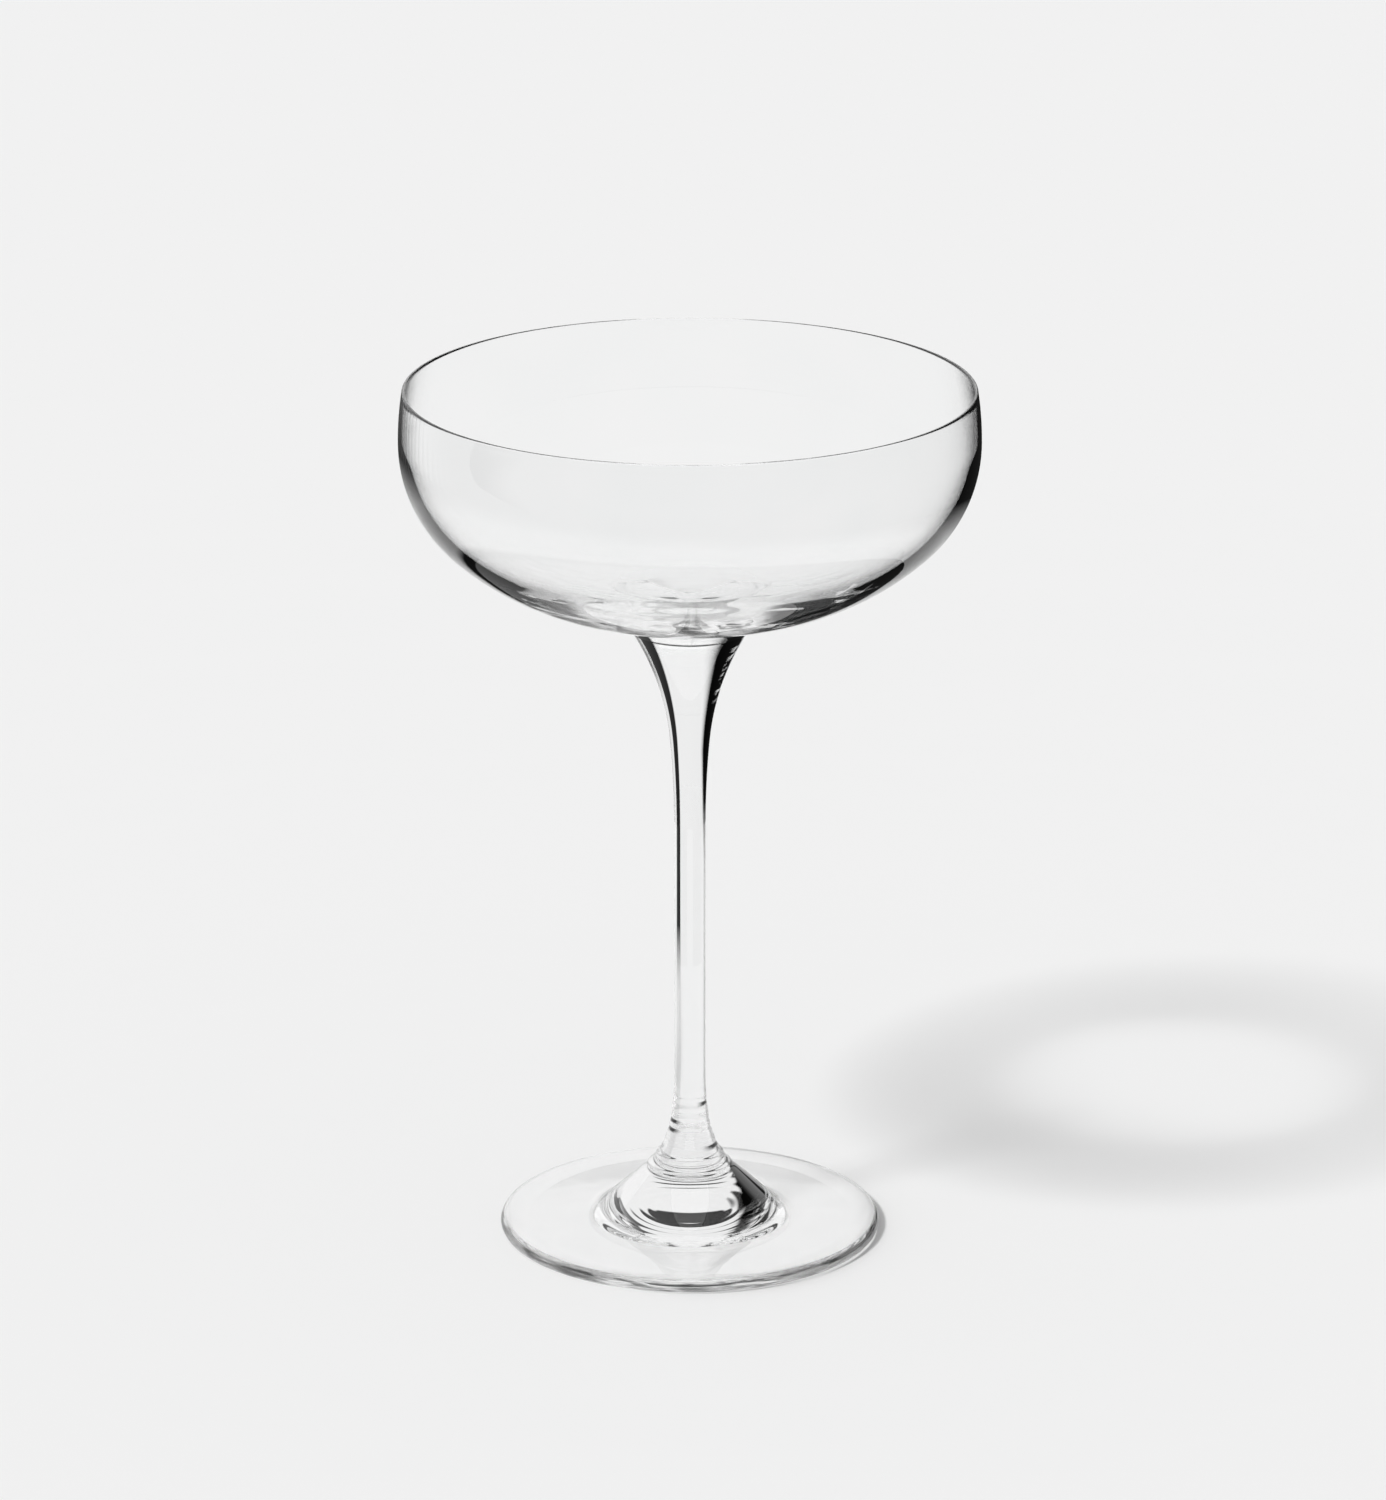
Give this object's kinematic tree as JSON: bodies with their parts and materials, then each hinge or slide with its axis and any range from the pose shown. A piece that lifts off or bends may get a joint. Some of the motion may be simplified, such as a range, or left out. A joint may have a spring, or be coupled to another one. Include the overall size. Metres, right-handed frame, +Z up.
{
  "type": "champagne coupe",
  "caption": "Stemmed glass with a wide shallow bowl for sparkling wine, a slim drawn stem that flares into the bowl, and a flat round foot with a raised cone.",
  "frame": {"origin": "middle of the foot, on the surface that the glass stands on", "axes": "+Z up along the stem's axis; the picture was taken from -Y"},
  "size_m": [0.106, 0.106, 0.1622],
  "materials": {
    "bowl_glass": "clear, polished",
    "stem_glass": "clear, polished",
    "foot_glass": "clear, polished"
  },
  "bodies": {
    "root": {"bowl": "bowl_glass", "stem": "stem_glass", "foot": "foot_glass"}
  },
  "joints": []
}
